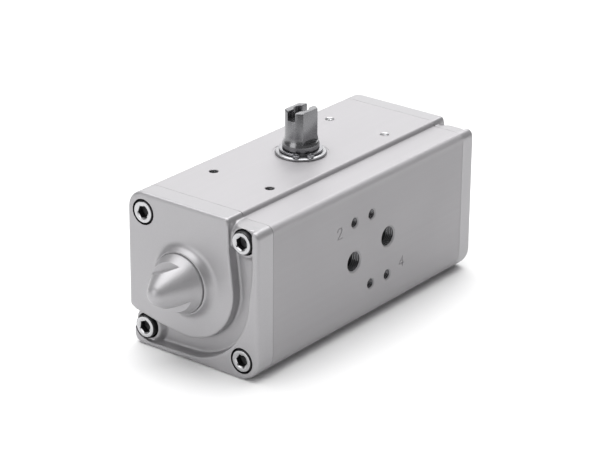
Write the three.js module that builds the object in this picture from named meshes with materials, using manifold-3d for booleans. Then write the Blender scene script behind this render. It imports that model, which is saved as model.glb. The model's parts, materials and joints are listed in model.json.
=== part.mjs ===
// Double-acting quarter-turn pneumatic actuator, rack and pinion, built from separate pieces.
// Units are millimetres, +Z up. X runs along the cylinder, the air ports face -Y, and the origin
// is the centre of the base. At rest both pistons are in and the shaft stands at 0 degrees.
import * as THREE from 'three';
import { mergeVertices } from 'three/addons/utils/BufferGeometryUtils.js';
import Module from 'manifold-3d';

const wasm = await Module();
wasm.setup();

// ---- driving dimensions ---------------------------------------------------
const W = 69;                     // width of the section, Y
const H = 69;                     // height of the section, Z
const STEP = 2.3;                 // how far the ledge and the lower left side are set back
const PLATEAU_Y = -18.85;         // edge of the raised top
const SIDE_Z = 15.7;              // lower edge of the raised left side
const BODY = 66.55;               // half length of the housing
const JOINT = 66.85;              // inner face of each cap
const FRONT_OUT = 76.6;           // outer face of the front cap
const REAR_OUT = 75.2;            // outer face of the rear cap
const TIP = 97.7;                 // tip of each cap's nose
const NOSE_FLAT = 7.36, NOSE_SHOULDER = 8.4;  // nose flats: distance from the axis, and how far out they start
const NOSE_TURN = -0.414;         // the flats' turn about the axis, radians
const AXIS_Y = 3.7;               // bore axis and shaft axis
const BORE_Z = 36;
const BORE_R = 25;
const SCREW = 26;                 // half side of the square of cap screws
const MID_Z = H / 2;
const HEAD_R = 5, HEAD_H = 6, SHANK_R = 3, POCKET_R = 5.65;
const GROOVE_IN = 25.4, GROOVE_OUT = 33.4, GROOVE_DEPTH = 5, PAD_DROP = 1.8;
const ACC_X = 40, ACC_Y = 15;     // accessory holes, M5
const PORT_X = 12, PORT_DZ = 1.85, PORT_R = 4.3, PORT_MID = 34.5;
const TEETH = 16, MODULE = 1.5;   // pinion and racks
const PITCH_R = TEETH * MODULE / 2;
const TOP_Z = H + 20;             // top of the shaft
const FLANGE_R = 25;              // valve flange, four M6 on a 50 mm circle
const SQUARE = 14;                // socket for the valve stem

// ---- helpers ----------------------------------------------------------------
function solid(g) {
  g = g.clone(); g.deleteAttribute('normal'); g.deleteAttribute('uv');
  if (g.index === null) g.setIndex([...Array(g.attributes.position.count).keys()]);
  g = mergeVertices(g, 1e-4);
  const tri = [], ix = g.index.array;
  for (let i = 0; i < ix.length; i += 3)
    if (ix[i] !== ix[i + 1] && ix[i + 1] !== ix[i + 2] && ix[i] !== ix[i + 2]) tri.push(ix[i], ix[i + 1], ix[i + 2]);
  return new wasm.Manifold(new wasm.Mesh({ numProp: 3,
    vertProperties: new Float32Array(g.attributes.position.array), triVerts: new Uint32Array(tri) }));
}
function geometry(m) {
  const s = m.getMesh(), n = s.numProp, v = s.vertProperties, p = new Float32Array(v.length / n * 3);
  for (let i = 0; i < v.length / n; i++) for (let k = 0; k < 3; k++) p[3 * i + k] = v[n * i + k];
  const g = new THREE.BufferGeometry();
  g.setAttribute('position', new THREE.BufferAttribute(p, 3));
  g.setIndex(new THREE.BufferAttribute(new Uint32Array(s.triVerts), 1));
  g.computeVertexNormals();
  return g;
}
const rad = THREE.MathUtils.degToRad;
// corners [a, b, radius] in order, counter-clockwise, to points with rounded corners
function rounded(corners, seg = 5) {
  const out = [], n = corners.length;
  for (let i = 0; i < n; i++) {
    const c = new THREE.Vector2(corners[i][0], corners[i][1]), r = corners[i][2] || 0;
    if (!r) { out.push(c); continue; }
    const a = new THREE.Vector2(...corners[(i + n - 1) % n].slice(0, 2)).sub(c).normalize();
    const b = new THREE.Vector2(...corners[(i + 1) % n].slice(0, 2)).sub(c).normalize();
    const half = Math.acos(a.dot(b)) / 2, d = r / Math.tan(half);
    const m = a.clone().add(b).normalize().multiplyScalar(r / Math.sin(half)).add(c);
    const p = a.multiplyScalar(d).add(c).sub(m), q = b.multiplyScalar(d).add(c).sub(m);
    const t0 = Math.atan2(p.y, p.x); let dt = Math.atan2(q.y, q.x) - t0;
    while (dt > Math.PI) dt -= 2 * Math.PI;
    while (dt < -Math.PI) dt += 2 * Math.PI;
    for (let k = 0; k <= seg; k++) { const t = t0 + dt * k / seg; out.push(new THREE.Vector2(m.x + r * Math.cos(t), m.y + r * Math.sin(t))); }
  }
  return out;
}
const arc = (cx, cy, r, a0, a1, n) => Array.from({ length: n + 1 }, (_, i) => {
  const t = rad(a0 + (a1 - a0) * i / n); return new THREE.Vector2(cx + r * Math.cos(t), cy + r * Math.sin(t)); });
// a (y, z) outline pushed along X
function alongX(pts, x0, x1) {
  const g = new THREE.ExtrudeGeometry(new THREE.Shape(pts), { depth: x1 - x0, bevelEnabled: false, curveSegments: 1 });
  g.applyMatrix4(new THREE.Matrix4().set(0, 0, 1, x0, 1, 0, 0, 0, 0, 1, 0, 0, 0, 0, 0, 1));
  return solid(g);
}
// an (x, y) outline pushed along Z
function alongZ(pts, z0, z1, x = 0, y = 0) {
  const g = new THREE.ExtrudeGeometry(new THREE.Shape(pts), { depth: z1 - z0, bevelEnabled: false, curveSegments: 1 });
  g.translate(x, y, z0); return solid(g);
}
function cylX(r, x0, x1, y, z, seg = 24, r1 = r) {
  const g = new THREE.CylinderGeometry(r1, r, x1 - x0, seg); g.rotateZ(-Math.PI / 2); g.translate((x0 + x1) / 2, y, z); return solid(g);
}
function cylY(r, y0, y1, x, z, seg = 24, r1 = r) {
  const g = new THREE.CylinderGeometry(r1, r, y1 - y0, seg); g.translate(x, (y0 + y1) / 2, z); return solid(g);
}
function cylZ(r, z0, z1, x = 0, y = AXIS_Y, seg = 24, r1 = r) {
  const g = new THREE.CylinderGeometry(r1, r, z1 - z0, seg); g.rotateX(Math.PI / 2); g.translate(x, y, (z0 + z1) / 2); return solid(g);
}
const box = (x0, x1, y0, y1, z0, z1) => {
  const g = new THREE.BoxGeometry(x1 - x0, y1 - y0, z1 - z0); g.translate((x0 + x1) / 2, (y0 + y1) / 2, (z0 + z1) / 2); return solid(g); };
// [radius, height] pairs turned about the vertical shaft axis, closed on the axis
function turnedZ(profile, seg = 36, y = AXIS_Y) {
  const g = new THREE.LatheGeometry(profile.map(p => new THREE.Vector2(p[0], p[1])), seg);
  g.rotateX(Math.PI / 2); g.translate(0, y, 0); return solid(g);
}
// [radius, distance along +X] pairs turned about the bore axis
function turnedX(profile, seg = 36, y = AXIS_Y, z = BORE_Z) {
  const g = new THREE.LatheGeometry(profile.map(p => new THREE.Vector2(p[0], p[1])), seg);
  g.rotateZ(-Math.PI / 2); g.translate(0, y, z); return solid(g);
}
function ringZ(ro, ri, z0, z1, seg = 40) { return cylZ(ro, z0, z1, 0, AXIS_Y, seg).subtract(cylZ(ri, z0 - 1, z1 + 1, 0, AXIS_Y, seg)); }
function ringX(ro, ri, x0, x1, seg = 48) { return cylX(ro, x0, x1, AXIS_Y, BORE_Z, seg).subtract(cylX(ri, x0 - 1, x1 + 1, AXIS_Y, BORE_Z, seg)); }
function torusZ(R, r, z) { const g = new THREE.TorusGeometry(R, r, 6, 32); g.translate(0, AXIS_Y, z); return g; }
function mirrorX(m) {
  const g = geometry(m), p = g.attributes.position, ix = g.index.array;
  for (let i = 0; i < p.count; i++) p.setX(i, -p.getX(i));
  for (let i = 0; i < ix.length; i += 3) { const t = ix[i]; ix[i] = ix[i + 1]; ix[i + 1] = t; }
  return solid(g);
}
// half turn about the shaft axis
function halfTurn(m) {
  const g = geometry(m); g.translate(0, -AXIS_Y, 0); g.rotateZ(Math.PI); g.translate(0, AXIS_Y, 0); return solid(g);
}

const group = new THREE.Group();
const finish = {
  body: { color: 0xd2d2d4, roughness: 0.42, metalness: 0.9 }, cap: { color: 0xc9c9cc, roughness: 0.45, metalness: 0.9 },
  steel: { color: 0xb9b9bc, roughness: 0.25, metalness: 1 }, shaft: { color: 0x9c9ca0, roughness: 0.28, metalness: 1 },
  piston: { color: 0xc4c6ca, roughness: 0.4, metalness: 0.9 }, rubber: { color: 0x1c1c1e, roughness: 0.8, metalness: 0 },
  plastic: { color: 0xe6e2d6, roughness: 0.5, metalness: 0 },
};
function add(name, what, kind) {
  const m = new THREE.Mesh(what.getMesh ? geometry(what) : what, new THREE.MeshStandardMaterial({ name, ...finish[kind] }));
  m.name = name; group.add(m);
}

// ---- section shared by the housing and the caps ------------------------------
const section = rounded([
  [-W / 2, 0, 10], [W / 2 - STEP, 0, 4], [W / 2 - STEP, SIDE_Z, 0.8], [W / 2, SIDE_Z, 1.5],
  [W / 2, H, 8], [PLATEAU_Y, H, 0.8], [PLATEAU_Y, H - STEP, 0.6], [-W / 2, H - STEP, 3.2]]);
const corners = [[SCREW, MID_Z + SCREW], [-SCREW, MID_Z + SCREW], [SCREW, MID_Z - SCREW], [-SCREW, MID_Z - SCREW]];
const CHANNEL_Y = -28, CHANNEL_Z = 42;   // long air drilling in the port side's wall

// ---- housing -----------------------------------------------------------------
let housing = alongX(section, -BODY, BODY).subtract(cylX(BORE_R, -BODY - 1, BODY + 1, AXIS_Y, BORE_Z, 64));
for (const s of [-1, 1]) for (const [y, z] of corners)
  housing = housing.subtract(s < 0 ? cylX(3.3, -BODY - 1, -BODY + 15, y, z, 16) : cylX(3.3, BODY - 15, BODY + 1, y, z, 16));
housing = housing.subtract(cylX(2.4, -BODY - 1, BODY + 1, CHANNEL_Y, CHANNEL_Z, 16));
// shaft bores: upper 20.6, inner spot face 26, lower 31, centring recess 35
housing = housing.subtract(cylZ(10.3, 50, H + 1, 0, AXIS_Y, 40)).subtract(cylZ(13, 50, 61, 0, AXIS_Y, 40))
  .subtract(cylZ(12.4, H - 0.3, H + 1, 0, AXIS_Y, 48)).subtract(cylZ(15.5, -1, 20, 0, AXIS_Y, 40)).subtract(cylZ(17.5, -1, 3, 0, AXIS_Y, 48));
for (const i of [0, 1, 2, 3]) {
  const a = rad(45 + 90 * i);
  housing = housing.subtract(cylZ(2.6, -1, 10, FLANGE_R * Math.cos(a), AXIS_Y + FLANGE_R * Math.sin(a), 16));
}
for (const sx of [-1, 1]) for (const sy of [-1, 1])
  housing = housing.subtract(cylZ(2.2, H - (sy > 0 ? 5.5 : 6.5), H + 1, sx * ACC_X, AXIS_Y + sy * ACC_Y, 16));
// port face: two air ports and the four M5 holes of the valve pattern
housing = housing.subtract(cylY(PORT_R, -W / 2 - 1, -W / 2 + 9, PORT_X, PORT_MID + PORT_DZ, 24))
  .subtract(cylY(PORT_R, -W / 2 - 1, -W / 2 + 11, -PORT_X, PORT_MID - PORT_DZ, 24))
  .subtract(cylY(2, -W / 2 + 8, -W / 2 + 20, -PORT_X, PORT_MID - PORT_DZ, 12));
for (const [x, z] of [[-12, 16], [0, 16], [0, -16], [12, -16]])
  housing = housing.subtract(cylY(2.2, -W / 2 - 1, -W / 2 + 8, x, PORT_MID + z, 16));
add('housing', housing, 'body');

// ---- caps ----------------------------------------------------------------------
const V = (a, b) => new THREE.Vector2(a, b);
const OUTER = [V(-31, 72), V(-31, 50), V(-30.6, 44), ...arc(AXIS_Y + 0.3, BORE_Z, GROOVE_OUT, 180, 270, 14), V(16, 2.1), V(40, 1.9), V(40, 72)];
const BOSS = [V(-18.9, 73), V(-19.3, 55), V(-20.4, 46), ...arc(AXIS_Y + 0.3, BORE_Z, GROOVE_IN, 171, 270, 16), V(18, 12.3), V(41, 17.2), V(41, 73)];
const hull = (a, b, r, n = 8) => { // slot outline between two points
  const d = Math.atan2(b[1] - a[1], b[0] - a[0]) * 180 / Math.PI;
  return [...arc(b[0], b[1], r, d - 90, d + 90, n), ...arc(a[0], a[1], r, d + 90, d + 270, n)]; };
const LOBE = [[AXIS_Y, BORE_Z], [CHANNEL_Y, CHANNEL_Z]];
function cap(out) { // built on the +X side
  let c = alongX(section, JOINT, out);
  c = c.subtract(alongX(OUTER, out - GROOVE_DEPTH, out + 2).subtract(alongX(BOSS, out - GROOVE_DEPTH - 1, out + 3)));
  const prism = alongX(section, JOINT + 0.5, out + 1);
  for (const [y, z] of [corners[1], corners[2]]) // pads under the two screws that stand in the groove
    c = c.add(cylX(8.6, out - GROOVE_DEPTH - 0.5, out - PAD_DROP, y, z, 28, 6.6).intersect(prism));
  c = c.add(cylX(BORE_R - 0.3, JOINT - 3, JOINT + 0.5, AXIS_Y, BORE_Z, 56)); // spigot in the bore
  for (const [y, z] of corners)
    c = c.subtract(cylX(POCKET_R, out - HEAD_H, out + 3, y, z, 24)).subtract(cylX(3.3, JOINT - 1, out, y, z, 16));
  // gasket groove, then the air passage from the long drilling to the bore
  c = c.subtract(alongX(arc(AXIS_Y, BORE_Z, 28.6, 0, 350, 35), JOINT - 1, JOINT + 1.9).add(alongX(hull(...LOBE, 5.4), JOINT - 1, JOINT + 1.9))
    .subtract(alongX(arc(AXIS_Y, BORE_Z, 26.2, 0, 350, 35), JOINT - 4, JOINT + 3)).subtract(alongX(hull(...LOBE, 3), JOINT - 4, JOINT + 3)));
  c = c.subtract(alongX(hull([AXIS_Y - 20, BORE_Z + 4.1], [CHANNEL_Y, CHANNEL_Z], 2), JOINT - 4, JOINT + 2.6));
  // nose: foot, ring, and a blunt cone with two flats
  const at = (t) => out + t;
  let nose = turnedX([[0, at(-1)], [17.0, at(-1)], [17.0, at(0.01)], [15.6, at(0.5)], [14.6, at(1.5)], [14.0, at(2.8)], [13.7, at(3.7)],
    [12.9, at(3.7)], [12.9, at(4.7)], [12.55, at(5.0)], [10.7, at(8.4)], [9.3, at(11)], [7.5, at(14)], [5.4, TIP - 4.1], [4.0, TIP - 2.2], [2.9, TIP - 1.0], [1.5, TIP - 0.25], [0, TIP]], 36);
  for (const s of [-1, 1]) { // spanner flats
    const g = new THREE.BoxGeometry(40, 60, 20); g.translate(at(NOSE_SHOULDER) + 20, 0, NOSE_FLAT + 10);
    g.rotateX(s > 0 ? NOSE_TURN : NOSE_TURN + Math.PI); g.translate(0, AXIS_Y, BORE_Z);
    nose = nose.subtract(solid(g));
  }
  return c.add(nose);
}
add('front_cap', mirrorX(cap(FRONT_OUT)), 'cap');
add('rear_cap', cap(REAR_OUT), 'cap');

function gasket() {
  return alongX(arc(AXIS_Y, BORE_Z, 28.25, 0, 350, 35), JOINT - 0.0, JOINT + 1.6).add(alongX(hull(...LOBE, 5.05), JOINT, JOINT + 1.6))
    .subtract(alongX(arc(AXIS_Y, BORE_Z, 26.55, 0, 350, 35), JOINT - 1, JOINT + 3)).subtract(alongX(hull(...LOBE, 3.35), JOINT - 1, JOINT + 3));
}
add('front_cap_seal', mirrorX(gasket()), 'rubber');
add('rear_cap_seal', gasket(), 'rubber');

function capScrew(out, y, z) {
  const s = out - HEAD_H + 0.3;
  let m = cylX(HEAD_R, s, s + HEAD_H - 0.5, y, z, 24).add(cylX(HEAD_R, s + HEAD_H - 0.5, s + HEAD_H, y, z, 24, HEAD_R - 0.5))
    .add(cylX(SHANK_R, s - 17, s + 1, y, z, 16));
  const hex = new THREE.CylinderGeometry(2.5 / Math.cos(Math.PI / 6), 2.5 / Math.cos(Math.PI / 6), 6, 6);
  hex.rotateZ(-Math.PI / 2); hex.translate(s + HEAD_H, y, z);
  return m.subtract(solid(hex));
}
corners.forEach(([y, z], i) => add(`front_cap_screw_${i + 1}`, mirrorX(capScrew(FRONT_OUT, y, z)), 'steel'));
corners.forEach(([y, z], i) => add(`rear_cap_screw_${i + 1}`, capScrew(REAR_OUT, y, z), 'steel'));

// ---- teeth -----------------------------------------------------------------------
// involute pinion outline; BACK is taken off each flank for backlash
const ALPHA = rad(20), BACK = 0.16;
function pinionOutline() {
  const rb = PITCH_R * Math.cos(ALPHA), ra = PITCH_R + MODULE - 0.15, rf = PITCH_R - 1.3 * MODULE, pts = [];
  const inv = a => Math.tan(a) - a;
  const halfAt = r => Math.PI / (2 * TEETH) + inv(ALPHA) - inv(Math.acos(Math.min(1, rb / r))) - BACK / PITCH_R;
  const radii = [rb + 0.02, rb + 0.6, PITCH_R, PITCH_R + 0.6, ra];
  for (let t = 0; t < TEETH; t++) {
    const c = 2 * Math.PI * t / TEETH;
    pts.push([rf, c - halfAt(rb + 0.02) - 0.02]);
    for (const r of radii) pts.push([r, c - halfAt(r)]);
    for (const r of [...radii].reverse()) pts.push([r, c + halfAt(r)]);
    pts.push([rf, c + halfAt(rb + 0.02) + 0.02]);
  }
  return pts.map(([r, a]) => V(r * Math.cos(a), r * Math.sin(a)));
}
// ---- drive shaft -------------------------------------------------------------------
let shaft = turnedZ([[0, 1], [13.1, 1], [13.7, 1.6], [13.7, 7.2], [12.3, 7.2], [12.3, 10.4], [13.7, 10.4], [13.7, 16], [9.6, 17.5], [9.6, 51],
  [12, 52.5], [12, 58.9], [8, 58.9], [8, 65.1], [6.9, 65.1], [6.9, 68.4], [8, 68.4], [8, 70.3], [7.3, 70.3], [7.3, 71.7], [8, 71.7], [8, 73.9],
  [7.75, 74.4], [7.4, 75.4], [7.0, 77.5], [7.0, TOP_Z - 0.4], [6.6, TOP_Z], [0, TOP_Z]], 40);
shaft = shaft.add(alongZ(pinionOutline(), 22, 50, 0, AXIS_Y));
for (const s of [-1, 1]) shaft = shaft.subtract(s < 0 ? box(-9, 9, AXIS_Y - 9, AXIS_Y - 5, 74.9, TOP_Z + 1) : box(-9, 9, AXIS_Y + 5, AXIS_Y + 9, 74.9, TOP_Z + 1));
shaft = shaft.subtract(box(-9, 9, AXIS_Y - 2, AXIS_Y + 2, TOP_Z - 4, TOP_Z + 1)).subtract(cylZ(2.6, TOP_Z - 16, TOP_Z + 1, 0, AXIS_Y, 20));
const sq = rounded([[-SQUARE / 2, -SQUARE / 2, 1.2], [SQUARE / 2, -SQUARE / 2, 1.2], [SQUARE / 2, SQUARE / 2, 1.2], [-SQUARE / 2, SQUARE / 2, 1.2]], 3);
shaft = shaft.subtract(alongZ(sq, -1, 17.5, 0, AXIS_Y));
add('drive_shaft', shaft, 'shaft');

add('upper_shaft_bush', ringZ(9.95, 8.35, 61.3, 64.8), 'plastic');
add('lower_shaft_bush', ringZ(15.15, 14.05, 3.3, 6.8, 44), 'plastic');
add('upper_shaft_o_ring', torusZ(8.6, 1.3, 66.75), 'rubber');
add('lower_shaft_o_ring', torusZ(13.9, 1.25, 8.8), 'rubber');
add('inner_thrust_washer', ringZ(12.6, 8.4, 59.2, 60.7), 'plastic');
add('top_thrust_washer', turnedZ([[8.35, 69.05], [10.9, 69.05], [11.2, 69.3], [11.2, 69.8], [10.7, 70.2], [9.7, 70.25], [8.35, 70.25], [8.35, 69.05]], 40), 'steel');
// retaining ring: its gap and ears point to the front left
const EAR = -136;
let clip = ringZ(9.5, 7.6, 70.6, 71.5, 36);
const gap = box(0, 12, -1.7, 1.7, 70, 72.4);
const turn = (m, deg) => { const g = geometry(m); g.rotateZ(rad(deg)); g.translate(0, AXIS_Y, 0); return solid(g); };
clip = clip.subtract(turn(gap, EAR));
for (const s of [-1, 1]) {
  const ear = cylZ(1.7, 70.6, 71.5, 9.3, s * 3.0, 16).subtract(cylZ(0.8, 70, 72, 9.3, s * 3.0, 12));
  clip = clip.add(turn(ear.subtract(box(0, 7.6, -6, 6, 70, 72)), EAR)).subtract(turn(cylZ(0.8, 70, 72, 9.3, s * 3.0, 12), EAR));
}
clip = clip.subtract(cylZ(7.6, 70, 72, 0, AXIS_Y, 36));
add('retaining_ring', clip, 'shaft');

// ---- pistons with racks -------------------------------------------------------------
// built for the +X piston, whose rack passes the pinion on the -Y side
const RACK_H = 10.5, HEAD_IN = 33, HEAD_OUT = 43.5, RACK_END = -31;
function rackOutline() { // (x, y) with the pitch line at AXIS_Y - PITCH_R, teeth towards +Y
  const p = Math.PI * MODULE, yp = AXIS_Y - PITCH_R, a = MODULE - 0.15, d = 1.3 * MODULE, t = Math.tan(ALPHA);
  const pts = [V(HEAD_IN + 1, yp - d), V(HEAD_IN + 1, yp - 9.2), V(RACK_END, yp - 9.2), V(RACK_END, yp - d)];
  // at rest the pinion has a tooth at its angle -90 degrees, so a rack gap is centred on x = 0
  for (let i = -6; i <= 6; i++) {
    const c = (i + 0.5) * p;
    if (c - p / 2 < RACK_END + 0.5 || c + p / 2 > HEAD_IN - 1) continue;
    const w = p / 4 - BACK;
    pts.push(V(c - w - d * t, yp - d), V(c - w + a * t, yp + a), V(c + w - a * t, yp + a), V(c + w + d * t, yp - d));
  }
  return pts;
}
function piston() {
  let m = turnedX([[0, HEAD_IN], [24.2, HEAD_IN], [24.55, HEAD_IN + 0.5], [24.55, HEAD_IN + 1.6], [23.3, HEAD_IN + 1.6], [23.3, HEAD_IN + 4.6], [24.55, HEAD_IN + 4.6],
    [24.55, HEAD_IN + 6], [21.9, HEAD_IN + 6], [21.9, HEAD_IN + 8.8], [24.55, HEAD_IN + 8.8], [24.55, HEAD_OUT - 0.6], [24, HEAD_OUT], [18, HEAD_OUT], [17, HEAD_OUT - 3], [0, HEAD_OUT - 3]], 44);
  const inside = cylX(24.3, RACK_END - 2, HEAD_IN + 2, AXIS_Y, BORE_Z, 44);
  const yp = AXIS_Y - PITCH_R;
  let rack = alongZ(rackOutline(), BORE_Z - RACK_H, BORE_Z + RACK_H).intersect(inside);
  rack = rack.subtract(box(RACK_END + 8, RACK_END + 34, yp - 12, yp - 8.0, BORE_Z - 7.5, BORE_Z + 7.5)); // seat for the sliding pad
  return m.add(rack);
}
const right = piston();
add('piston_right', right, 'piston');
add('piston_left', halfTurn(right), 'piston');
const guide = ringX(24.7, 23.6, HEAD_IN + 1.9, HEAD_IN + 4.3, 44);
add('piston_guide_ring_right', guide, 'plastic');
add('piston_guide_ring_left', halfTurn(guide), 'plastic');
const seal = turnedX([[22.2, HEAD_IN + 6.3], [24.4, HEAD_IN + 6.3], [24.7, HEAD_IN + 7], [24.7, HEAD_IN + 7.8], [24.4, HEAD_IN + 8.5], [22.2, HEAD_IN + 8.5], [22.2, HEAD_IN + 6.3]], 44);
add('piston_seal_right', seal, 'rubber');
add('piston_seal_left', halfTurn(seal), 'rubber');
const pad = box(RACK_END + 8.3, RACK_END + 33.7, AXIS_Y - PITCH_R - 14, AXIS_Y - PITCH_R - 8.3, BORE_Z - 7.2, BORE_Z + 7.2)
  .intersect(cylX(24.6, -40, 40, AXIS_Y, BORE_Z, 44));
add('rack_pad_right', pad, 'plastic');
add('rack_pad_left', halfTurn(pad), 'plastic');

export default group;
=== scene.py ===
import json
import math
import bpy
import bmesh
from mathutils import Matrix, Vector

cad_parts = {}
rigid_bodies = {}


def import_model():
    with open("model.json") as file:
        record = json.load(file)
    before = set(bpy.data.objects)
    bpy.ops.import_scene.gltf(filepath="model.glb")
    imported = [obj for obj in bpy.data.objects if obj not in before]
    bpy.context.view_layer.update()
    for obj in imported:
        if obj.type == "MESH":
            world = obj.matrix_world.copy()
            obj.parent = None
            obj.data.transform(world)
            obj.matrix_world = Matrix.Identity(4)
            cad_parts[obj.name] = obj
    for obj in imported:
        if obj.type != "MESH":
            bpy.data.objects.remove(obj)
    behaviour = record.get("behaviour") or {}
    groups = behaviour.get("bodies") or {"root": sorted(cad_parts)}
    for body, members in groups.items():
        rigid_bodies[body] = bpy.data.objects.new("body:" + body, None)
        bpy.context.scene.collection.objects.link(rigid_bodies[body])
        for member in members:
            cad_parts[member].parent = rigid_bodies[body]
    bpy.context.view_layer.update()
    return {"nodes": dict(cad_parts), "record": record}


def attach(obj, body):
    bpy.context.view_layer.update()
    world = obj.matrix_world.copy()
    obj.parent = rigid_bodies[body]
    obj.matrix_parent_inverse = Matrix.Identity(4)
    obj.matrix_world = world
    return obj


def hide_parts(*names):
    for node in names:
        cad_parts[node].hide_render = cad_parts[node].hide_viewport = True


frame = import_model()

scene = bpy.context.scene
scene.view_settings.view_transform = "Standard"
scene.view_settings.look = "None"
MM = 0.001

# ---- camera -------------------------------------------------------------------
cam_data = bpy.data.cameras.new("camera")
cam_data.lens = 145.97
cam_data.sensor_width = 36
cam_data.clip_start = 0.01
cam = bpy.data.objects.new("camera", cam_data)
scene.collection.objects.link(cam)
right, up, back = Vector((0.61451, -0.78887, 0.00766)), Vector((0.30427, 0.24596, 0.92029)), Vector((-0.72787, -0.56320, 0.39117))
m = Matrix((right, up, back)).transposed().to_4x4()
m.translation = Vector((-0.76482, -0.58795, 0.44632))
cam.matrix_world = m
scene.camera = cam

# ---- dimensions, in millimetres, as the frame has them ---------------------------
W, H, STEP, PLATEAU_Y, SIDE_Z = 69.0, 69.0, 2.3, -18.85, 15.7
BODY, JOINT, FRONT_OUT, REAR_OUT, TIP = 66.70, 66.82, 76.6, 75.2, 97.7   # the finished faces almost touch at the joint
AXIS_Y, BORE_Z, BORE_R = 3.7, 36.0, 25.0
SCREW, MID_Z = 26.0, 34.5
NOSE_FLAT, NOSE_SHOULDER, NOSE_TURN = 7.36, 8.4, -0.414
CORNERS = [(SCREW, MID_Z + SCREW), (-SCREW, MID_Z + SCREW), (SCREW, MID_Z - SCREW), (-SCREW, MID_Z - SCREW)]


# ---- mesh helpers -------------------------------------------------------------------
def make(name, verts, faces):
    me = bpy.data.meshes.new(name)
    me.from_pydata([tuple(c * MM for c in v) for v in verts], [], faces)
    me.validate()
    bm = bmesh.new()
    bm.from_mesh(me)
    bmesh.ops.remove_doubles(bm, verts=bm.verts, dist=1e-7)
    bmesh.ops.recalc_face_normals(bm, faces=bm.faces)
    bm.to_mesh(me)
    bm.free()
    o = bpy.data.objects.new(name, me)
    scene.collection.objects.link(o)
    return o


def rounded(corners, seg):
    out, n = [], len(corners)
    for i in range(n):
        cx, cy, r = corners[i]
        c = Vector((cx, cy))
        if not r:
            out.append(c)
            continue
        a = (Vector(corners[i - 1][:2]) - c).normalized()
        b = (Vector(corners[(i + 1) % n][:2]) - c).normalized()
        half = math.acos(max(-1, min(1, a.dot(b)))) / 2
        mid = c + (a + b).normalized() * (r / math.sin(half))
        p, q = c + a * (r / math.tan(half)) - mid, c + b * (r / math.tan(half)) - mid
        t0 = math.atan2(p.y, p.x)
        dt = math.atan2(q.y, q.x) - t0
        while dt > math.pi:
            dt -= 2 * math.pi
        while dt < -math.pi:
            dt += 2 * math.pi
        k = max(2, round(seg * abs(dt) / (math.pi / 2)))
        for j in range(k + 1):
            t = t0 + dt * j / k
            out.append(mid + Vector((r * math.cos(t), r * math.sin(t))))
    return out


def arc(cx, cy, r, a0, a1, n):
    return [Vector((cx + r * math.cos(math.radians(a0 + (a1 - a0) * i / n)), cy + r * math.sin(math.radians(a0 + (a1 - a0) * i / n)))) for i in range(n + 1)]


def loft(name, rings, close=True):
    """Rings of equal length, each a list of 3-D points, joined in order and capped."""
    n = len(rings[0])
    verts = [p for ring in rings for p in ring]
    faces = []
    for i in range(len(rings) - 1):
        for j in range(n):
            k = (j + 1) % n
            faces.append((i * n + j, i * n + k, (i + 1) * n + k, (i + 1) * n + j))
    if close:
        faces.append(tuple(reversed(range(n))))
        faces.append(tuple(range((len(rings) - 1) * n, len(rings) * n)))
    return make(name, verts, faces)


def prism_x(name, pts, x0, x1):
    return loft(name, [[(x, p[0], p[1]) for p in pts] for x in (x0, x1)])


def prism_z(name, pts, z0, z1, x=0, y=0):
    return loft(name, [[(p[0] + x, p[1] + y, z) for p in pts] for z in (z0, z1)])


def lathe(name, profile, axis, centre, seg=96):
    """profile is (radius, distance along axis); ends on the axis or closes on itself."""
    verts, faces, rows = [], [], []
    for r, d in profile:
        if r < 1e-6:
            rows.append([len(verts)])
            verts.append(place(0, 0, d, axis, centre))
        else:
            rows.append(list(range(len(verts), len(verts) + seg)))
            for i in range(seg):
                t = 2 * math.pi * i / seg
                verts.append(place(r * math.cos(t), r * math.sin(t), d, axis, centre))
    for a, b in zip(rows, rows[1:]):
        for j in range(seg):
            k = (j + 1) % seg
            if len(a) == 1 and len(b) == 1:
                continue
            if len(a) == 1:
                faces.append((a[0], b[k], b[j]))
            elif len(b) == 1:
                faces.append((a[j], a[k], b[0]))
            else:
                faces.append((a[j], a[k], b[k], b[j]))
    return make(name, verts, faces)


def place(a, b, d, axis, c):
    if axis == "x":
        return (d, c[0] + a, c[1] + b)
    if axis == "y":
        return (c[0] + a, d, c[1] + b)
    return (c[0] + a, c[1] + b, d)


def cyl(axis, r, d0, d1, centre, seg=64, r1=None):
    return lathe("tool", [(0, d0), (r, d0), (r if r1 is None else r1, d1), (0, d1)], axis, centre, seg)


def block(x0, x1, y0, y1, z0, z1):
    return loft("tool", [[(x0, y0, z), (x1, y0, z), (x1, y1, z), (x0, y1, z)] for z in (z0, z1)])


def applied(o):
    dg = bpy.context.evaluated_depsgraph_get()
    dg.update()
    me = bpy.data.meshes.new_from_object(o.evaluated_get(dg))
    o.modifiers.clear()
    old = o.data
    o.data = me
    bpy.data.meshes.remove(old)
    return o


def boolean(o, tools, op="DIFFERENCE"):
    """One exact boolean with a group of tools, which are used up."""
    col = bpy.data.collections.new("tools")
    scene.collection.children.link(col)
    for t in tools:
        scene.collection.objects.unlink(t)
        col.objects.link(t)
    mod = o.modifiers.new("b", "BOOLEAN")
    mod.operation, mod.solver, mod.operand_type, mod.collection = op, "EXACT", "COLLECTION", col
    mod.use_self = False
    applied(o)
    for t in list(col.objects):
        me = t.data
        bpy.data.objects.remove(t)
        bpy.data.meshes.remove(me)
    bpy.data.collections.remove(col)
    return o


def clean(o, angle=0.6):
    bm = bmesh.new()
    bm.from_mesh(o.data)
    bmesh.ops.remove_doubles(bm, verts=bm.verts, dist=2e-6)
    bmesh.ops.dissolve_limit(bm, angle_limit=math.radians(angle), verts=bm.verts, edges=bm.edges)
    bm.to_mesh(o.data)
    bm.free()
    return o


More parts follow.
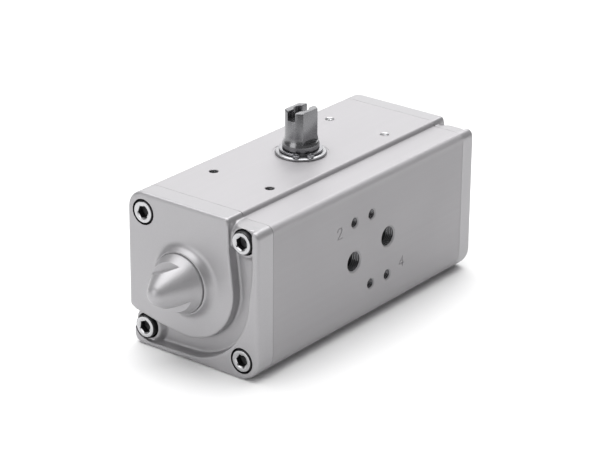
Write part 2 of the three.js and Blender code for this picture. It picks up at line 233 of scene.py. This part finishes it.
def bevel(o, width, segments=2, angle=35):
    mod = o.modifiers.new("bev", "BEVEL")
    mod.width, mod.segments, mod.limit_method, mod.angle_limit = width * MM, segments, "ANGLE", math.radians(angle)
    mod.use_clamp_overlap, mod.harden_normals = True, False
    return applied(o)


def smooth(o, angle=32):
    me = o.data
    for p in me.polygons:
        p.use_smooth = True
    me.set_sharp_from_angle(angle=math.radians(angle))
    return o


def finish_piece(o, name, body, slot, material, *nodes):
    o.name = name
    o.data.name = name
    o.data.materials.clear()
    o.data.materials.append(material)
    for p in o.data.polygons:
        p.material_index = 0
    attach(o, body)
    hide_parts(*nodes)
    return o


def paint(o, material, test):
    """Gives the faces whose centre passes the test, in millimetres, a second material."""
    o.data.materials.append(material)
    k = len(o.data.materials) - 1
    for p in o.data.polygons:
        if test(p.center / MM):
            p.material_index = k
    return o


def mirror_x(o):
    for v in o.data.vertices:
        v.co.x = -v.co.x
    o.data.flip_normals()
    return o


# ---- materials ---------------------------------------------------------------------------
def metal(name, color, rough, metallic=1.0, grain=(600, 600, 600), grain_amount=0.05, bump=0.02, rough_var=0.08,
          cloud=0.04, streak=None, coat=0.0, top=None):
    """A metal with grain, slow cloudiness, and a bump from both. grain is the noise frequency along each axis, per metre."""
    mat = bpy.data.materials.new(name)
    mat.use_nodes = True
    nt = mat.node_tree
    nt.nodes.clear()
    N = nt.nodes.new
    out, bsdf, tc = N("ShaderNodeOutputMaterial"), N("ShaderNodeBsdfPrincipled"), N("ShaderNodeTexCoord")
    nt.links.new(bsdf.outputs[0], out.inputs[0])
    bsdf.inputs["Metallic"].default_value = metallic
    bsdf.inputs["Coat Weight"].default_value = coat
    mp = N("ShaderNodeMapping")
    mp.inputs["Scale"].default_value = grain
    nt.links.new(tc.outputs["Object"], mp.inputs[0])
    fine = N("ShaderNodeTexNoise")
    fine.inputs["Scale"].default_value = 1.0
    fine.inputs["Detail"].default_value = 4
    nt.links.new(mp.outputs[0], fine.inputs["Vector"])
    slow = N("ShaderNodeTexNoise")
    slow.inputs["Scale"].default_value = 38
    slow.inputs["Detail"].default_value = 3
    nt.links.new(tc.outputs["Object"], slow.inputs["Vector"])

    def spread(src, low, high):
        r = N("ShaderNodeMapRange")
        r.inputs["From Min"].default_value, r.inputs["From Max"].default_value = 0.3, 0.7
        r.inputs["To Min"].default_value, r.inputs["To Max"].default_value = low, high
        nt.links.new(src, r.inputs["Value"])
        return r.outputs[0]

    def mul(a, b):
        x = N("ShaderNodeMath")
        x.operation = "MULTIPLY"
        nt.links.new(a, x.inputs[0])
        nt.links.new(b, x.inputs[1])
        return x.outputs[0]

    value = mul(spread(fine.outputs["Fac"], 1 - grain_amount, 1 + grain_amount), spread(slow.outputs["Fac"], 1 - cloud, 1 + cloud))
    if top:  # painted highlight: the top is made brighter than the sides, standing in for the overhead light
        sep, ramp = N("ShaderNodeSeparateXYZ"), N("ShaderNodeMapRange")
        nt.links.new(tc.outputs["Object"], sep.inputs[0])
        nt.links.new(sep.outputs["Z"], ramp.inputs["Value"])
        ramp.inputs["From Min"].default_value, ramp.inputs["From Max"].default_value = top[0] * MM, top[1] * MM
        ramp.inputs["To Min"].default_value, ramp.inputs["To Max"].default_value = 1.0, top[2]
        value = mul(value, ramp.outputs[0])
    rough_v = mul(spread(fine.outputs["Fac"], 1 - rough_var, 1 + rough_var), spread(slow.outputs["Fac"], 1 - rough_var, 1 + rough_var))
    height = fine.outputs["Fac"]
    if streak:
        ms = N("ShaderNodeMapping")
        ms.inputs["Scale"].default_value = streak
        nt.links.new(tc.outputs["Object"], ms.inputs[0])
        lines = N("ShaderNodeTexNoise")
        lines.inputs["Scale"].default_value = 1.0
        lines.inputs["Detail"].default_value = 5
        lines.inputs["Roughness"].default_value = 0.65
        nt.links.new(ms.outputs[0], lines.inputs["Vector"])
        value = mul(value, spread(lines.outputs["Fac"], 1 - grain_amount * 1.2, 1 + grain_amount * 1.2))
        rough_v = mul(rough_v, spread(lines.outputs["Fac"], 1 - rough_var, 1 + rough_var))
        add = N("ShaderNodeMath")
        add.operation = "ADD"
        nt.links.new(height, add.inputs[0])
        nt.links.new(lines.outputs["Fac"], add.inputs[1])
        height = add.outputs[0]
    mix = N("ShaderNodeMix")
    mix.data_type = "RGBA"
    mix.blend_type = "MULTIPLY"
    mix.inputs["Factor"].default_value = 1.0
    mix.inputs["A"].default_value = (*color, 1)
    comb = N("ShaderNodeCombineColor")
    for i in range(3):
        nt.links.new(value, comb.inputs[i])
    nt.links.new(comb.outputs[0], mix.inputs["B"])
    nt.links.new(mix.outputs["Result"], bsdf.inputs["Base Color"])
    rr = N("ShaderNodeMath")
    rr.operation = "MULTIPLY"
    rr.inputs[1].default_value = rough
    nt.links.new(rough_v, rr.inputs[0])
    nt.links.new(rr.outputs[0], bsdf.inputs["Roughness"])
    bp = N("ShaderNodeBump")
    bp.inputs["Strength"].default_value = 1.0
    bp.inputs["Distance"].default_value = bump * MM
    nt.links.new(height, bp.inputs["Height"])
    nt.links.new(bp.outputs[0], bsdf.inputs["Normal"])
    return mat


# the body's colour is painted up to 16 % brighter from z 62 mm upwards, a painted highlight on the top
body_mat = metal("anodised_extrusion", (0.360, 0.352, 0.363), 0.52, metallic=0.40, grain=(2500, 2500, 2500), grain_amount=0.025, bump=0.008,
                 rough_var=0.08, cloud=0.015, streak=(6, 420, 420), top=(62, 66, 1.16))
cap_mat = metal("blasted_casting", (0.40, 0.394, 0.405), 0.42, metallic=0.55, grain=(1700, 1700, 1700), grain_amount=0.03, bump=0.018,
                rough_var=0.10, cloud=0.02)
screw_mat = metal("plated_screw", (0.50, 0.50, 0.51), 0.24, grain=(900, 3000, 3000), grain_amount=0.06, bump=0.012, rough_var=0.2)
shaft_mat = metal("turned_steel", (0.215, 0.215, 0.222), 0.24, grain=(700, 700, 5200), grain_amount=0.08, bump=0.010, rough_var=0.25)
washer_mat = metal("washer_steel", (0.40, 0.40, 0.41), 0.40, grain=(2200, 2200, 3000), grain_amount=0.06, bump=0.012, rough_var=0.2)
clip_mat = metal("spring_steel", (0.33, 0.33, 0.345), 0.30, grain=(2200, 2200, 2200), grain_amount=0.08, bump=0.012, rough_var=0.2)
piston_mat = metal("machined_piston", (0.70, 0.71, 0.73), 0.30, grain=(3800, 600, 600), grain_amount=0.05, bump=0.012, rough_var=0.15)
rubber_mat = metal("nitrile_rubber", (0.025, 0.025, 0.026), 0.65, metallic=0.0, grain=(2600, 2600, 2600), grain_amount=0.25, bump=0.03, rough_var=0.15)
plastic_mat = metal("natural_acetal", (0.80, 0.78, 0.70), 0.45, metallic=0.0, grain=(1400, 1400, 1400), grain_amount=0.03, bump=0.01, rough_var=0.1)
# painted shade: a near-black colour put on recess walls, screw-head sides, hex sockets and the shaft's tapped hole,
# where shade falls
recess_shade_mat = metal("painted_recess_shade", (0.022, 0.022, 0.024), 0.5, metallic=0.2, grain=(2600, 2600, 2600), grain_amount=0.25, bump=0.01, rough_var=0.2)
# painted highlight: a bright colour put inside the rear top holes, standing in for light on their far walls
hole_highlight_mat = metal("painted_hole_highlight", (0.80, 0.80, 0.81), 0.30, metallic=0.75, grain=(2600, 2600, 2600), grain_amount=0.08, bump=0.01, rough_var=0.2)
# painted shade: a dark colour put on the walls of tapped holes, where shade falls inside them
thread_shade_mat = metal("painted_thread_shade", (0.15, 0.15, 0.155), 0.25, metallic=0.9, grain=(2600, 2600, 2600), grain_amount=0.12, bump=0.01, rough_var=0.2)

by_slot = {"body": body_mat, "cap": cap_mat, "screw_steel": screw_mat, "shaft_steel": shaft_mat, "washer_steel": washer_mat,
           "spring_steel": clip_mat, "piston_alloy": piston_mat, "rubber": rubber_mat, "bearing_plastic": plastic_mat}
slot_of = {s["node"]: s["material_slot"] for s in frame["record"]["subparts"]}
for node, o in frame["nodes"].items():
    o.data.materials.clear()
    o.data.materials.append(by_slot[slot_of[node]])


# ---- housing ---------------------------------------------------------------------------------
def section(seg=10, r_step=1.4):
    return rounded([(-W / 2, 0, 10), (W / 2 - STEP, 0, 4), (W / 2 - STEP, SIDE_Z, 0.8), (W / 2, SIDE_Z, 1.5),
                    (W / 2, H, 8), (PLATEAU_Y, H, r_step), (PLATEAU_Y, H - STEP, 0.5), (-W / 2, H - STEP, 3.2)], seg)


def thread_tool(axis, centre, face, depth, r, pitch, deep, mouth, sign=-1):
    """A tapped hole to cut: a countersunk mouth, then ring after ring of thread. sign is the way the hole faces along its axis."""
    prof = [(0, face + sign * 1.0), (mouth + 1.0, face + sign * 1.0), (r, face - sign * (mouth - r))]
    d = mouth - r + 0.1
    while d + pitch < depth:
        prof += [(r, face - sign * d), (r + deep, face - sign * (d + pitch * 0.45)), (r + deep, face - sign * (d + pitch * 0.55))]
        d += pitch
    prof += [(r, face - sign * d), (r, face - sign * depth), (0, face - sign * (depth + r * 0.55))]
    return lathe("tool", prof, axis, centre, 48)


def stroke(points, width, x0, z0, face, depth):
    """Round-ended strokes of an engraved figure, cut into the face that looks along -Y."""
    tools = []
    for (a, b), (c, d) in zip(points, points[1:]):
        t = math.atan2(d - b, c - a)
        n = 8
        outline = [(c + width / 2 * math.cos(t - math.pi / 2 + math.pi * i / n), d + width / 2 * math.sin(t - math.pi / 2 + math.pi * i / n)) for i in range(n + 1)]
        outline += [(a + width / 2 * math.cos(t + math.pi / 2 + math.pi * i / n), b + width / 2 * math.sin(t + math.pi / 2 + math.pi * i / n)) for i in range(n + 1)]
        tools.append(loft("tool", [[(x0 + p[0], y, z0 + p[1]) for p in outline] for y in (face - 0.5, face + depth)]))
    return tools


def build_housing():
    o = prism_x("housing_shell", section(), -BODY, BODY)
    tools = [cyl("x", BORE_R, -BODY - 1, BODY + 1, (AXIS_Y, BORE_Z), 128)]
    for y, z in CORNERS:
        tools += [cyl("x", 3.3, -BODY - 1, -BODY + 15, (y, z), 32), cyl("x", 3.3, BODY - 15, BODY + 1, (y, z), 32)]
    boolean(o, tools)
    boolean(o, [cyl("z", 10.3, 50, H + 1, (0, AXIS_Y), 64), cyl("z", 15.5, -1, 20, (0, AXIS_Y), 64)])
    boolean(o, [cyl("z", 12.4, H - 0.12, H + 1, (0, AXIS_Y), 96)])
    boolean(o, [cyl("z", 13, 50, 61, (0, AXIS_Y), 64), cyl("z", 17.5, -1, 3, (0, AXIS_Y), 96)])
    boolean(o, [cyl("x", 2.4, -BODY - 1, BODY + 1, (-28, 42), 32)])
    tools = []
    for sx in (-1, 1):
        for sy in (-1, 1):
            tools.append(thread_tool("z", (sx * 40, AXIS_Y + sy * 15), H, 5.5 if sx > 0 else 6.5, 1.95, 0.8, 0.3, 2.2, 1))
    for i in range(4):
        a = math.radians(45 + 90 * i)
        tools.append(thread_tool("z", (25 * math.cos(a), AXIS_Y + 25 * math.sin(a)), 0, 9, 2.5, 1.0, 0.42, 3.1, -1))
    for x, z in ((-12, 16), (0, 16), (0, -16), (12, -16)):
        tools.append(thread_tool("y", (x, MID_Z + z), -W / 2, 8, 2.1, 0.8, 0.35, 2.65, -1))
    tools.append(thread_tool("y", (12, MID_Z + 1.85), -W / 2, 8.6, 4.3, 0.907, 0.5, 4.95, -1))
    tools.append(thread_tool("y", (-12, MID_Z - 1.85), -W / 2, 9.4, 4.3, 0.907, 0.5, 4.95, -1))
    boolean(o, tools)
    boolean(o, [cyl("y", 2.0, -W / 2 + 8, -W / 2 + 20, (-12, MID_Z - 1.85), 32)])
    two = [(-1.45, 1.2), (-1.2, 1.95), (-0.5, 2.35), (0.4, 2.35), (1.1, 1.95), (1.4, 1.2), (1.2, 0.45), (-1.45, -2.35), (1.5, -2.35)]
    four = [(0.7, -2.35), (0.7, 2.35), (-1.6, -0.9), (1.6, -0.9)]
    boolean(o, stroke(two, 0.50, -22.5, MID_Z + 14.5, -W / 2, 0.20))
    boolean(o, stroke(four, 0.50, 22.2, MID_Z - 13.3, -W / 2, 0.20))
    clean(o, 0.3)
    smooth(o, 30)
    finish_piece(o, "housing_shell", "root", "body", body_mat, "housing")
    side = [(-12, MID_Z + 16, 2.65), (0, MID_Z + 16, 2.65), (0, MID_Z - 16, 2.65), (12, MID_Z - 16, 2.65), (12, MID_Z + 1.85, 4.9), (-12, MID_Z - 1.85, 4.9)]
    top = [(sx * 40, AXIS_Y + sy * 15) for sx in (-1, 1) for sy in (-1, 1)]
    near_side = lambda c, more: any(math.hypot(c.x - x, c.z - z) < r + more for x, z, r in side)
    near_top = lambda c, more: any(math.hypot(c.x - x, c.y - y) < 2.2 + more for x, y in top)
    # painted shade: the side-port and front top-hole walls get a dark colour and the deeper port walls a near-black
    # one; painted highlight: the rear top holes get a bright colour
    paint(o, thread_shade_mat, lambda c: (-W / 2 + 0.5 < c.y < -W / 2 + 4.5 and near_side(c, 0)) or (H - 9 < c.z < H - 0.3 and c.x < 0 and near_top(c, 0)))
    paint(o, recess_shade_mat, lambda c: -W / 2 + 4.5 <= c.y < -W / 2 + 18 and near_side(c, 0))
    paint(o, hole_highlight_mat, lambda c: H - 9 < c.z < H - 0.02 and c.x > 0 and near_top(c, 0.05))
    return o


# ---- caps -----------------------------------------------------------------------------------------
def inset(pts, d):
    n, out = len(pts), []
    for i in range(n):
        a, b, c = pts[i - 1], pts[i], pts[(i + 1) % n]
        u, v = (b - a).normalized(), (c - b).normalized()
        t = (u + v).normalized()
        nrm = Vector((-t.y, t.x))
        k = max(0.5, Vector((-u.y, u.x)).dot(nrm))
        out.append(b + nrm * (d / k))
    return out


OUTER = [Vector(p) for p in ((-31, 74), (-31, 50), (-30.6, 44))] + arc(AXIS_Y + 0.3, BORE_Z, 33.4, 180, 270, 40) + [Vector(p) for p in ((16, 2.1), (24.5, 2.15), (28.4, 3.2), (30.4, 5.2), (31.2, 7.4), (42, 8.2), (42, 74))]
BOSS = [Vector(p) for p in ((-18.9, 75), (-19.3, 55), (-20.4, 46))] + arc(AXIS_Y + 0.3, BORE_Z, 25.4, 171, 270, 40) + [Vector(p) for p in ((18, 12.3), (43, 17.6), (43, 75))]


def build_cap(out, name):
    """Built on the +X side: the casting is remeshed and softened, and the machined pockets are cut after it."""
    pts = rounded([(-W / 2, 0, 10), (W / 2 - STEP, 0, 4), (W / 2 - STEP, SIDE_Z, 0.8), (W / 2, SIDE_Z, 1.6),
                   (W / 2, H, 8), (PLATEAU_Y, H, 1.6), (PLATEAU_Y, H - STEP, 0.7), (-W / 2, H - STEP, 3.4)], 10)
    rings = [[(JOINT - 3, p.x, p.y) for p in pts], [(out - 1.2, p.x, p.y) for p in pts]]
    for k in range(1, 6):
        t = math.radians(90 * k / 5)
        rings.append([(out - 1.2 + 1.2 * math.sin(t), p.x, p.y) for p in inset(pts, 1.2 * (1 - math.cos(t)))])
    o = loft(name, rings)
    floor = out - 5.0
    groove = prism_x("tool", OUTER, floor, out + 2)
    boolean(groove, [prism_x("tool", BOSS, floor - 1, out + 3)])
    boolean(o, [groove])
    pads = []
    for y, z in (CORNERS[1], CORNERS[2]):
        pad = lathe("tool", [(0, floor - 0.5), (8.8, floor - 0.5), (6.7, out - 1.8), (0, out - 1.8)], "x", (y, z), 64)
        boolean(pad, [prism_x("tool", inset(pts, 0.25), floor - 2, out + 1)], "INTERSECT")
        pads.append(pad)
    boolean(o, pads, "UNION")
    foot = lathe("tool", [(0, out - 1), (17.2, out - 1), (17.0, out), (15.9, out + 0.3), (15.0, out + 1.0), (14.3, out + 2.1), (13.85, out + 3.2), (13.7, out + 3.7), (0, out + 3.7)], "x", (AXIS_Y, BORE_Z), 96)
    boolean(o, [foot], "UNION")
    rm = o.modifiers.new("r", "REMESH")
    rm.mode, rm.voxel_size, rm.adaptivity = "VOXEL", 0.42 * MM, 0
    applied(o)
    sm = o.modifiers.new("s", "SMOOTH")
    sm.factor, sm.iterations = 0.5, (16)
    applied(o)
    tools = []
    for y, z in CORNERS:
        tools.append(lathe("tool", [(0, out - 6), (5.65, out - 6), (5.65, out + 3), (0, out + 3)], "x", (y, z), 64))
    tools.append(block(JOINT - 8, JOINT, -40, 40, -5, 75))
    tools.append(lathe("tool", [(12.6, out + 3.0), (13.15, out + 3.0), (13.35, out + 5.5), (12.6, out + 5.5), (12.6, out + 3.0)], "x", (AXIS_Y, BORE_Z), 128))
    boolean(o, tools)
    boolean(o, [cyl("x", 3.3, JOINT - 1, out, c, 32) for c in CORNERS])
    smooth(o, 40)
    return o


def build_nose(out, name):
    """The pointed nose: a slightly swollen cone with a blunt tip, and two parallel flats that end at a shoulder."""
    key = [(12.9, 2.9), (12.9, 4.5), (12.75, 4.8), (12.5, 5.1), (11.65, 6.7), (10.75, 8.4), (9.4, 11.0), (7.6, 14.0), (5.62, TIP - 4.1 - out), (4.14, TIP - 2.02 - out)]
    prof = [(0, out + 2.9)] + [(r, out + d) for r, d in key]
    for k in range(1, 13):
        t = math.radians(38 + 52 * k / 12)
        prof.append((5.25 * math.cos(t) if k < 12 else 0, TIP - 5.25 * (1 - math.sin(t))))
    o = lathe(name, prof, "x", (AXIS_Y, BORE_Z), 128)
    tools = []
    for turn in (NOSE_TURN, NOSE_TURN + math.pi):
        b = block(out + NOSE_SHOULDER, out + 40, -30, 30, NOSE_FLAT, NOSE_FLAT + 20)
        b.data.transform(Matrix.Translation(Vector((0, AXIS_Y, BORE_Z)) * MM) @ Matrix.Rotation(turn, 4, "X"))
        tools.append(b)
    boolean(o, tools)
    clean(o, 0.2)
    bevel(o, 0.3, 3, 12)
    smooth(o, 24)
    return o


# ---- cap screws -------------------------------------------------------------------------------------
def build_screw(out, y, z, name, turn):
    s = out - 6 + 0.3
    n = 96
    def ring(r, x, knurl=0.0):
        return [(x, y + (r - (knurl if (i % 2) else 0)) * math.cos(2 * math.pi * i / n), z + (r - (knurl if (i % 2) else 0)) * math.sin(2 * math.pi * i / n)) for i in range(n)]
    def hexa(af, x, blend=0.0):
        pts = []
        for i in range(n):
            t = 2 * math.pi * i / n + turn
            a = (t - turn + math.pi / 6) % (math.pi / 3) - math.pi / 6
            r = (af / 2) / math.cos(a)
            pts.append((x, y + r * math.cos(t), z + r * math.sin(t)))
        return pts
    def ring_t(r, x):
        return [(x, y + r * math.cos(2 * math.pi * i / n + turn), z + r * math.sin(2 * math.pi * i / n + turn)) for i in range(n)]
    top = s + 6
    rings = [ring_t(0.02, s - 17), ring_t(2.2, s - 17), ring_t(3.0, s - 16.2), ring_t(3.0, s), ring_t(4.8, s), ring_t(5.0, s + 0.2)]
    def kn(r, x, d):
        return [(x, y + (r - (d if (i // 1) % 2 else 0)) * math.cos(2 * math.pi * i / n + turn), z + (r - (d if (i // 1) % 2 else 0)) * math.sin(2 * math.pi * i / n + turn)) for i in range(n)]
    rings += [kn(5.0, s + 0.5, 0.12), kn(5.0, top - 1.1, 0.12), ring_t(5.0, top - 0.8), ring_t(4.95, top - 0.55), ring_t(4.8, top - 0.25), ring_t(4.55, top - 0.08), ring_t(4.3, top),
              ring_t(3.25, top), ring_t(3.05, top - 0.1), hexa(5.0, top - 0.35), hexa(5.0, top - 3.0), ring_t(1.2, top - 3.5), ring_t(0.02, top - 3.7)]
    o = loft(name, rings)
    smooth(o, 32)
    return o


# ---- shaft -----------------------------------------------------------------------------------------------
def build_shaft():
    prof = [(0, 1), (13.1, 1), (13.7, 1.6), (13.7, 7.2), (12.3, 7.2), (12.3, 10.4), (13.7, 10.4), (13.7, 16), (9.6, 17.5), (9.6, 51),
            (12, 52.5), (12, 58.9), (8, 58.9), (8, 65.1), (6.9, 65.1), (6.9, 68.4), (8, 68.4), (8, 70.3), (7.3, 70.3), (7.3, 71.7), (7.9, 71.7), (8, 71.85),
            (8, 73.5), (7.93, 73.95), (7.75, 74.4), (7.55, 74.9), (7.35, 75.5), (7.15, 76.4), (7.0, 77.6), (7.0, 88.55), (6.9, 88.8), (6.7, 88.96), (6.5, 89), (0, 89)]
    o = lathe("shaft", prof, "z", (0, AXIS_Y), 96)
    # teeth
    teeth, mod, alpha, bk = 16, 1.5, math.radians(20), 0.16
    pr = teeth * mod / 2
    rb, ra, rf = pr * math.cos(alpha), pr + mod - 0.15, pr - 1.3 * mod
    inv = lambda a: math.tan(a) - a
    half = lambda r: math.pi / (2 * teeth) + inv(alpha) - inv(math.acos(min(1, rb / r))) - bk / pr
    pts = []
    radii = [rb + 0.02, rb + 0.6, pr, pr + 0.6, ra]
    for t in range(teeth):
        c = 2 * math.pi * t / teeth
        seq = [(rf, c - half(rb + 0.02) - 0.02)] + [(r, c - half(r)) for r in radii] + [(r, c + half(r)) for r in reversed(radii)] + [(rf, c + half(rb + 0.02) + 0.02)]
        pts += [Vector((r * math.cos(a), r * math.sin(a))) for r, a in seq]
    boolean(o, [prism_z("tool", pts, 22, 50, 0, AXIS_Y)], "UNION")
    boolean(o, [block(-9, 9, AXIS_Y - 9, AXIS_Y - 5, 74.9, 90), block(-9, 9, AXIS_Y + 5, AXIS_Y + 9, 74.9, 90)])
    boolean(o, [block(-9, 9, AXIS_Y - 2, AXIS_Y + 2, 85, 90)])
    hole = [(0, 90), (3.3, 90), (3.3, 85.2), (2.6, 84.5)]
    d = 84.3
    while d > 75:
        hole += [(2.5, d), (2.95, d - 0.45), (2.95, d - 0.55)]
        d -= 1.0
    hole += [(2.5, d), (2.5, 73.5), (0, 72.2)]
    boolean(o, [lathe("tool", hole, "z", (0, AXIS_Y), 48)])
    sq = rounded([(-7, -7, 1.2), (7, -7, 1.2), (7, 7, 1.2), (-7, 7, 1.2)], 6)
    boolean(o, [prism_z("tool", sq, -1, 17.5, 0, AXIS_Y)])
    clean(o, 0.2)
    bevel(o, 0.16, 2, 40)
    smooth(o, 30)
    finish_piece(o, "shaft", "drive_shaft", "shaft_steel", shaft_mat, "drive_shaft")
    # painted shade: the tapped hole in the shaft's end is made near-black
    return paint(o, recess_shade_mat, lambda c: 70 < c.z < 84.9 and math.hypot(c.x, c.y - AXIS_Y) < 3.1)


def refined(node, name, body, slot, mat, width, segs=2):
    src = frame["nodes"][node]
    o = bpy.data.objects.new(name, src.data.copy())
    scene.collection.objects.link(o)
    clean(o, 1.0)
    bevel(o, width, segs, 45)
    smooth(o, 35)
    return finish_piece(o, name, body, slot, mat, node)


build_housing()
# painted shade: the walls of the screw pockets in both caps are made near-black
in_pocket = lambda c: abs(c.x) > JOINT + 0.5 and any(math.hypot(c.y - y, c.z - z) < 5.655 for y, z in CORNERS)
c = mirror_x(build_cap(FRONT_OUT, "front_end_cap"))
paint(finish_piece(c, "front_end_cap", "root", "cap", cap_mat, "front_cap"), recess_shade_mat, in_pocket)
c = mirror_x(build_nose(FRONT_OUT, "front_cap_nose"))
finish_piece(c, "front_cap_nose", "root", "cap", cap_mat, "front_cap")
c = build_cap(REAR_OUT, "rear_end_cap")
paint(finish_piece(c, "rear_end_cap", "root", "cap", cap_mat, "rear_cap"), recess_shade_mat, in_pocket)
c = build_nose(REAR_OUT, "rear_cap_nose")
finish_piece(c, "rear_cap_nose", "root", "cap", cap_mat, "rear_cap")
turns = [0.35, 0.9, 0.15, 0.6]
for i, (y, z) in enumerate(CORNERS):
    for out, name, turn in ((FRONT_OUT, "front", turns[i]), (REAR_OUT, "rear", turns[3 - i])):
        c = build_screw(out, y, z, f"{name}_screw_{i + 1}", turn)
        if name == "front":
            mirror_x(c)
        finish_piece(c, f"{name}_screw_{i + 1}", "root", "screw_steel", screw_mat, f"{name}_cap_screw_{i + 1}")
        # painted shade: the head's rim and side and its hex socket are made near-black
        paint(c, recess_shade_mat, lambda c: math.hypot(c.y - y, c.z - z) > 4.6 or (math.hypot(c.y - y, c.z - z) < 2.95 and out - 5 < abs(c.x) < out - 0.05))
build_shaft()
refined("retaining_ring", "circlip", "drive_shaft", "spring_steel", clip_mat, 0.12)
refined("top_thrust_washer", "thrust_washer_top", "drive_shaft", "washer_steel", washer_mat, 0.08)

# ---- floor and light ---------------------------------------------------------------------------------------------
floor = make("floor", [(-4000, -4000, -0.05), (4000, -4000, -0.05), (4000, 4000, -0.05), (-4000, 4000, -0.05)], [(0, 1, 2, 3)])
fm = bpy.data.materials.new("floor")
fm.use_nodes = True
fb = fm.node_tree.nodes["Principled BSDF"]
fb.inputs["Base Color"].default_value = (0.93, 0.93, 0.93, 1)
fb.inputs["Roughness"].default_value = 0.9
fb.inputs["Specular IOR Level"].default_value = 0.1
floor.data.materials.append(fm)

world = bpy.data.worlds.new("studio")
scene.world = world
world.use_nodes = True
wn = world.node_tree
bg = wn.nodes["Background"]
bg.inputs["Color"].default_value = (0.95, 0.95, 0.96, 1)
bg.inputs["Strength"].default_value = 0.26


def area(name, loc, target, size, power, color=(1, 1, 1)):
    d = bpy.data.lights.new(name, "AREA")
    d.shape, d.size, d.size_y, d.energy, d.color = "RECTANGLE", size[0], size[1], power, color
    o = bpy.data.objects.new(name, d)
    scene.collection.objects.link(o)
    o.location = loc
    o.rotation_euler = (Vector(target) - Vector(loc)).to_track_quat("-Z", "Y").to_euler()
    return o


area("overhead", (0.1, 0.15, 1.3), (0, 0, 0.03), (1.6, 1.6), 27)
area("back", (1.9, 1.45, 0.95), (0, 0, 0.05), (2.4, 1.4), 16)
area("left", (-1.3, 0.35, 0.55), (0, 0, 0.04), (0.9, 0.9), 5)
area("right_high", (1.15, 0.15, 1.05), (0, 0, 0.05), (0.5, 0.5), 2.0)
